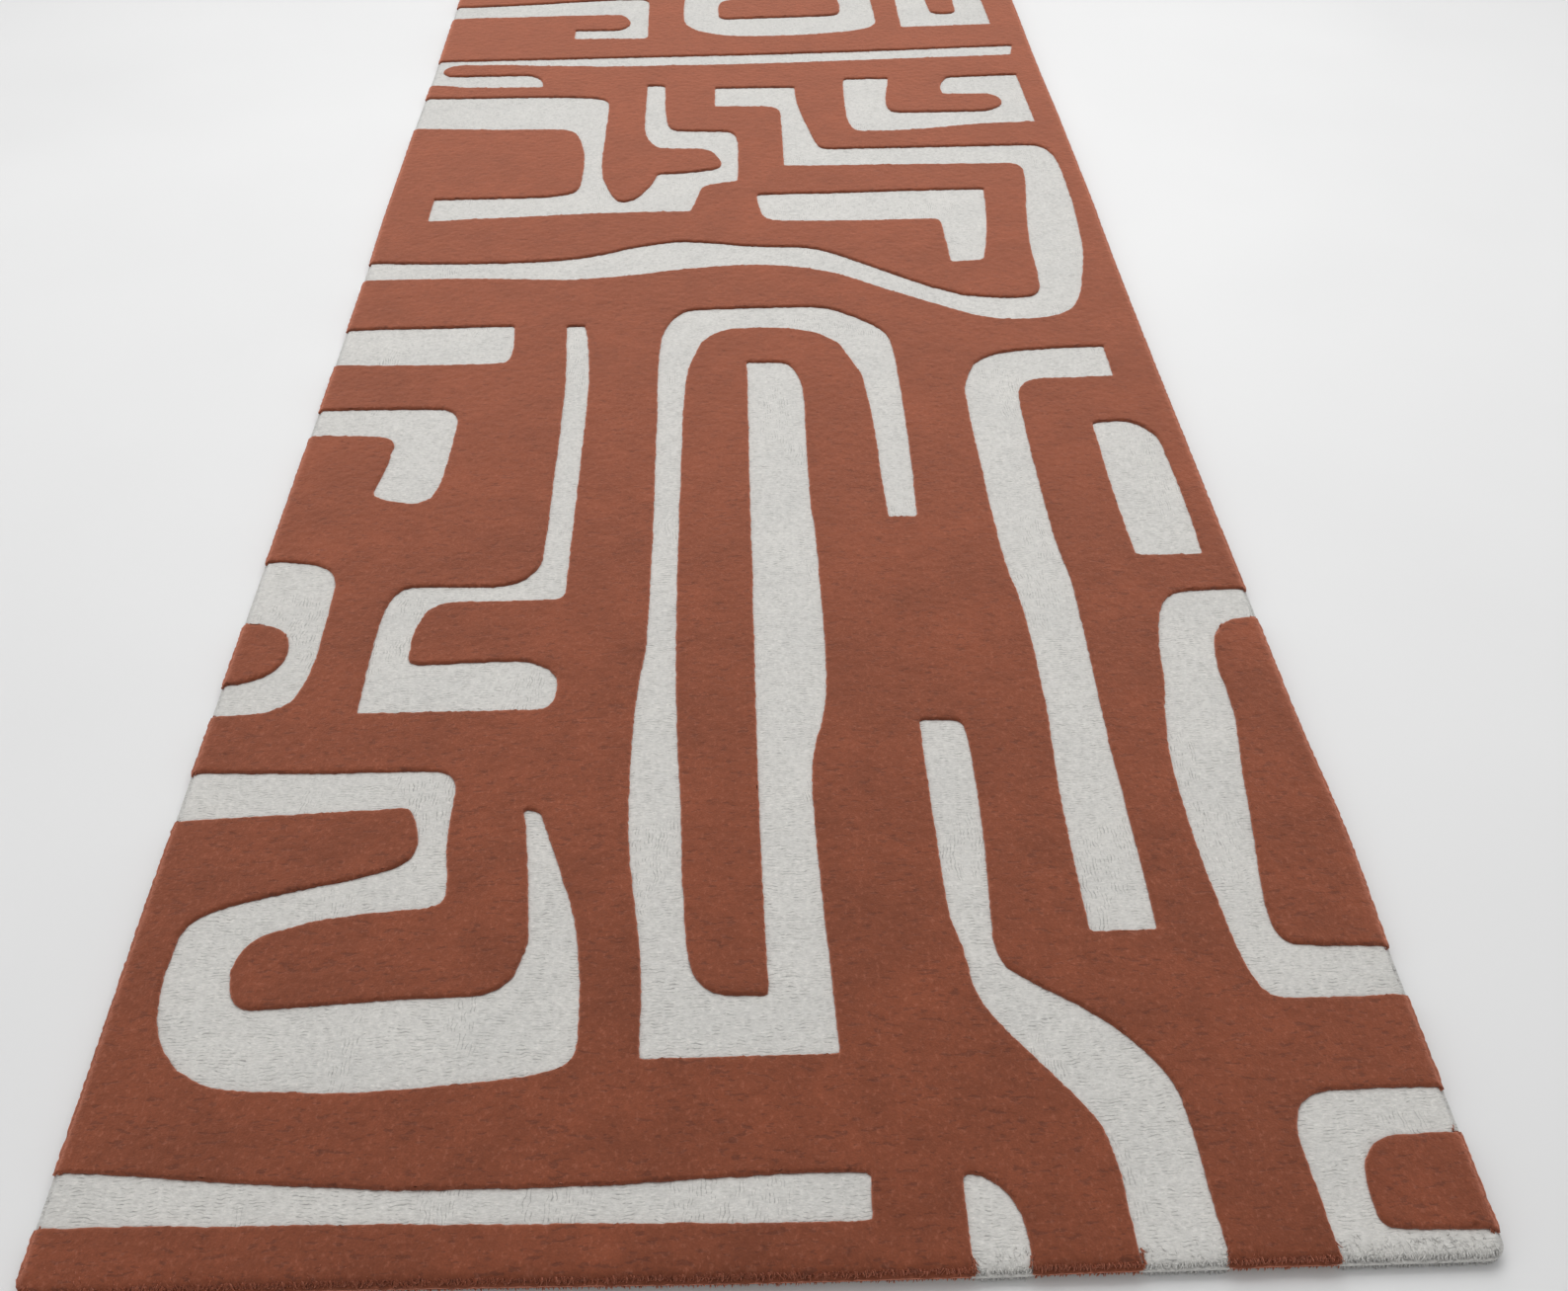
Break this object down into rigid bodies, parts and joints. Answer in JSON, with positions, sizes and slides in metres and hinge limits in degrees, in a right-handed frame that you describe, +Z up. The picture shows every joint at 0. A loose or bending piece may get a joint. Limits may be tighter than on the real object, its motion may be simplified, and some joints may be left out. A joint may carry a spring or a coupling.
{
  "type": "runner rug",
  "caption": "Hand-tufted wool runner rug: sunken ivory labyrinth motifs in a taller terracotta cut pile, on tufting cloth, latex and a taped canvas back.",
  "frame": {"origin": "on the floor under the middle of the rug", "axes": "+X across the rug to its right side, +Y along the rug from the near end to the far end, +Z up through the pile"},
  "size_m": [0.762, 2.438, 0.013],
  "materials": {
    "terracotta_wool": "matt cut-pile wool, heathered terracotta",
    "ivory_wool": "matt low wool pile, ivory heathered with grey",
    "primary_cloth": "plain-woven tufting cloth",
    "latex": "dull cured latex",
    "backing_canvas": "natural cotton canvas, plain weave",
    "binding_tape": "rust cotton twill tape"
  },
  "bodies": {
    "root": {"near_end_tape": "binding_tape", "right_side_tape": "binding_tape", "far_end_tape": "binding_tape", "left_side_tape": "binding_tape", "canvas_backing": "backing_canvas", "latex_coat": "latex", "primary_cloth": "primary_cloth", "ground_pile": "terracotta_wool", "near_long_bar_pile": "ivory_wool", "near_thumb_pile": "ivory_wool", "near_jogged_band_pile": "ivory_wool", "near_right_hook_pile": "ivory_wool", "near_right_island_pile": "terracotta_wool", "left_scroll_pile": "ivory_wool", "paperclip_pile": "ivory_wool", "right_centre_cane_pile": "ivory_wool", "right_small_bar_pile": "ivory_wool", "right_edge_loop_pile": "ivory_wool", "right_edge_island_pile": "terracotta_wool", "left_edge_loop_pile": "ivory_wool", "left_edge_island_pile": "terracotta_wool", "left_zed_pile": "ivory_wool", "left_hook_pile": "ivory_wool", "left_bar_pile": "ivory_wool", "river_pile": "ivory_wool", "inner_boot_pile": "ivory_wool", "left_door_pile": "ivory_wool", "far_right_buckle_pile": "ivory_wool", "far_thin_line_pile": "ivory_wool", "far_left_hook_pile": "ivory_wool", "far_ring_pile": "ivory_wool", "far_ring_island_pile": "terracotta_wool", "far_tuning_fork_pile": "ivory_wool", "far_wave_pile": "ivory_wool", "far_left_step_pile": "ivory_wool", "far_left_bar_pile": "ivory_wool", "far_left_gate_pile": "ivory_wool", "far_horseshoe_pile": "ivory_wool", "far_centre_bar_pile": "ivory_wool", "far_right_meander_pile": "ivory_wool", "far_right_tongue_pile": "ivory_wool", "far_end_fork_pile": "ivory_wool", "far_end_stub_pile": "ivory_wool", "far_end_bar_pile": "ivory_wool"}
  },
  "joints": []
}
